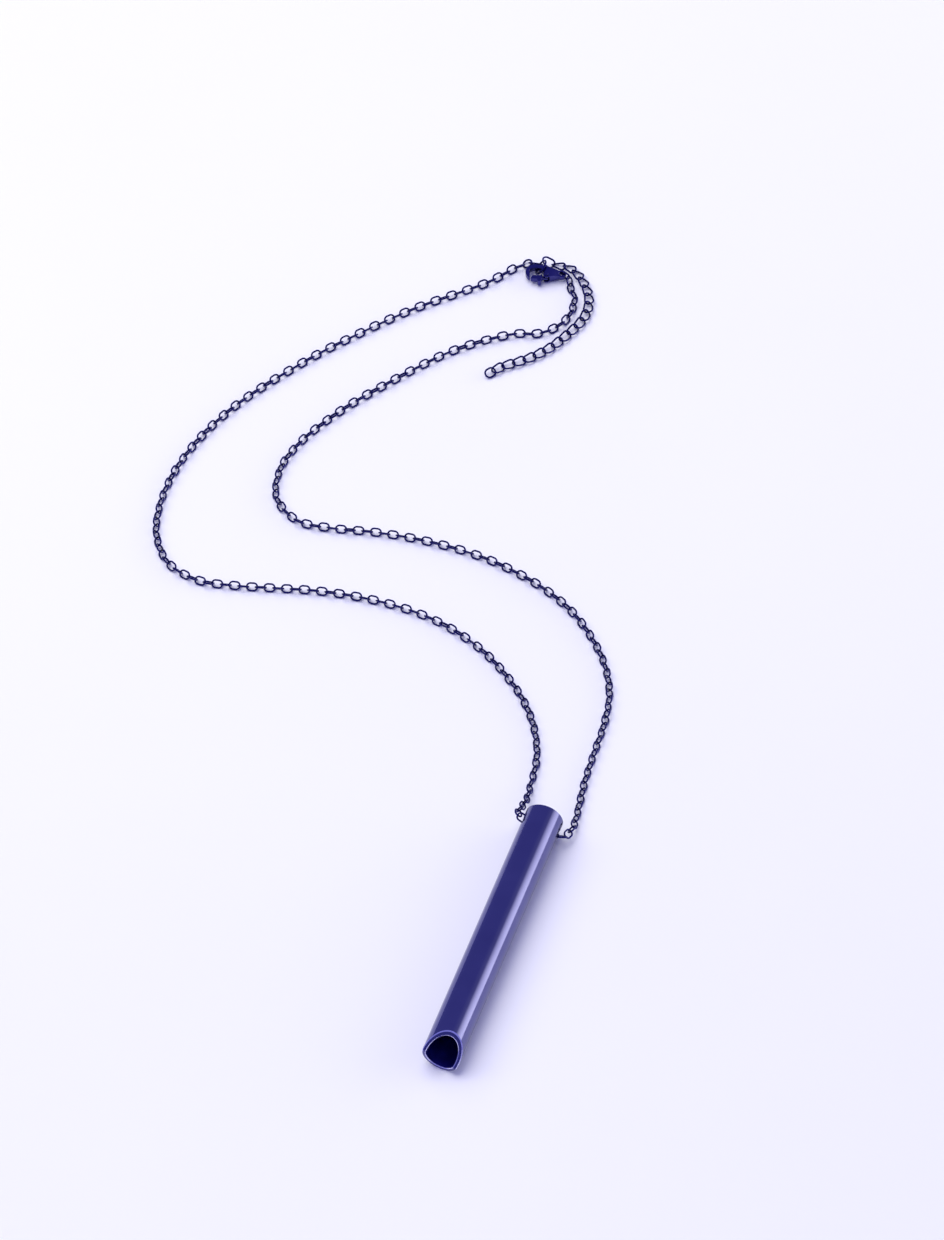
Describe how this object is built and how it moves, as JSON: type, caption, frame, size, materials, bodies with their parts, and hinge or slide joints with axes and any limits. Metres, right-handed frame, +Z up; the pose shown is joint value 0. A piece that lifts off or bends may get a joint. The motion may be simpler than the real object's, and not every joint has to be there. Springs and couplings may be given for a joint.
{
  "type": "breathing necklace",
  "caption": "Slim open metal tube with a bevelled mouth end, hung through its far end on a fine cable chain with a lobster clasp and extender.",
  "frame": {"origin": "on the plane the necklace lies on, under the middle of the pendant tube", "axes": "+Y along the tube from its bevelled mouth to its far end, +Z up from the plane"},
  "size_m": [0.1099, 0.2124, 0.008],
  "materials": {
    "tube_steel": "polished dark indigo PVD coating on stainless steel, mirror-like outside, darker inside",
    "chain_steel": "dark indigo PVD coating, lightly worn where links rub",
    "spring_steel": "bare spring wire"
  },
  "bodies": {
    "chain": {"chain_left_strand": "chain_steel", "chain_right_strand": "chain_steel", "chain_through_tube": "chain_steel", "left_end_ring": "chain_steel", "joining_link": "chain_steel", "hook_ring": "chain_steel", "clasp_tail_ring": "chain_steel", "clasp_body": "chain_steel", "clasp_rivet": "chain_steel", "clasp_spring": "spring_steel"},
    "pendant": {"pendant_tube": "tube_steel"},
    "clasp_lever": {"clasp_lever": "chain_steel"},
    "extender_upper": {"extender_link_01": "chain_steel", "extender_link_02": "chain_steel", "extender_link_03": "chain_steel", "extender_link_04": "chain_steel", "extender_link_05": "chain_steel", "extender_link_06": "chain_steel"},
    "extender_middle": {"extender_link_07": "chain_steel", "extender_link_08": "chain_steel", "extender_link_09": "chain_steel", "extender_link_10": "chain_steel", "extender_link_11": "chain_steel", "extender_link_12": "chain_steel"},
    "extender_tail": {"extender_link_13": "chain_steel", "extender_link_14": "chain_steel", "extender_link_15": "chain_steel", "extender_link_16": "chain_steel", "extender_link_17": "chain_steel", "extender_link_18": "chain_steel", "extender_link_19": "chain_steel", "extender_end_ring": "chain_steel"}
  },
  "joints": [
    {"name": "pendant_swing", "type": "hinge", "parent": "chain", "child": "pendant", "pos_m": [0, 0.0309, 0.004], "axis": [-0.9336, 0, 0.3584], "range_deg": [0, 150]},
    {"name": "clasp_lever_pivot", "type": "hinge", "parent": "chain", "child": "clasp_lever", "pos_m": [-0.04651, 0.17359, 0.0012], "axis": [0, 0, -1], "range_deg": [0, 22], "stiffness_Nm_per_rad": 0.004, "springref_deg": -17.19},
    {"name": "extender_swing", "type": "hinge", "parent": "chain", "child": "extender_upper", "pos_m": [-0.0476, 0.1768, 0.0015], "axis": [0, 0, 1], "range_deg": [0, 45]},
    {"name": "extender_bend_1", "type": "hinge", "parent": "extender_upper", "child": "extender_middle", "pos_m": [-0.03703, 0.17227, 0.00075], "axis": [0, 0, 1], "range_deg": [0, 40]},
    {"name": "extender_bend_2", "type": "hinge", "parent": "extender_middle", "child": "extender_tail", "pos_m": [-0.0383, 0.15922, 0.00075], "axis": [0, 0, 1], "range_deg": [-9, 50]}
  ]
}
